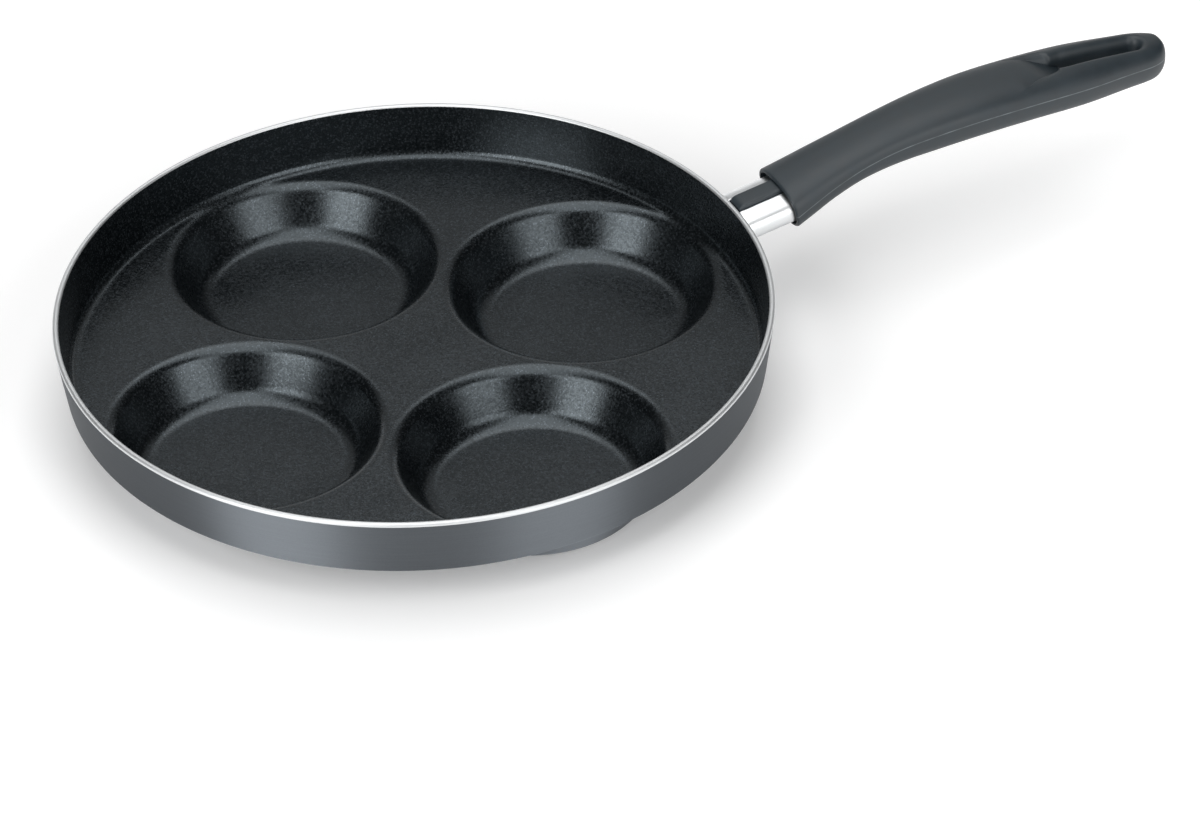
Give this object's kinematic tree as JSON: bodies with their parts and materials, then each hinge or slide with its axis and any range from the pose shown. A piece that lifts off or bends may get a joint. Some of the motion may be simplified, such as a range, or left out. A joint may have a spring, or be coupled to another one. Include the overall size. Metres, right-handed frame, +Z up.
{
  "type": "four-cup pancake pan",
  "caption": "Round non-stick aluminium pan with shallow pancake cups pressed into its floor, a steel flame guard and a curved moulded handle with a hanging slot.",
  "frame": {"origin": "on the pan's axis, at the flat underside of the floor between the cups", "axes": "+Z up along the pan's axis, out of its open top; +X from the axis along the handle"},
  "size_m": [0.4233, 0.2498, 0.0564],
  "materials": {
    "coated_aluminium": "dark grey non-stick coating inside and matching lacquer outside, bare bright metal on the turned rim edge",
    "bare_aluminium": "bare, as welded",
    "polished_steel": "polished stainless sheet",
    "phenolic_moulding": "dark grey bakelite with a soft sheen and a thin parting line along its sides",
    "zinc_steel": "bright zinc plate"
  },
  "bodies": {
    "root": {"pan_body": "coated_aluminium", "weld_stud": "bare_aluminium", "flame_guard": "polished_steel", "handle_grip": "phenolic_moulding", "handle_screw": "zinc_steel", "flat_washer": "zinc_steel", "spring_washer": "zinc_steel"}
  },
  "joints": []
}
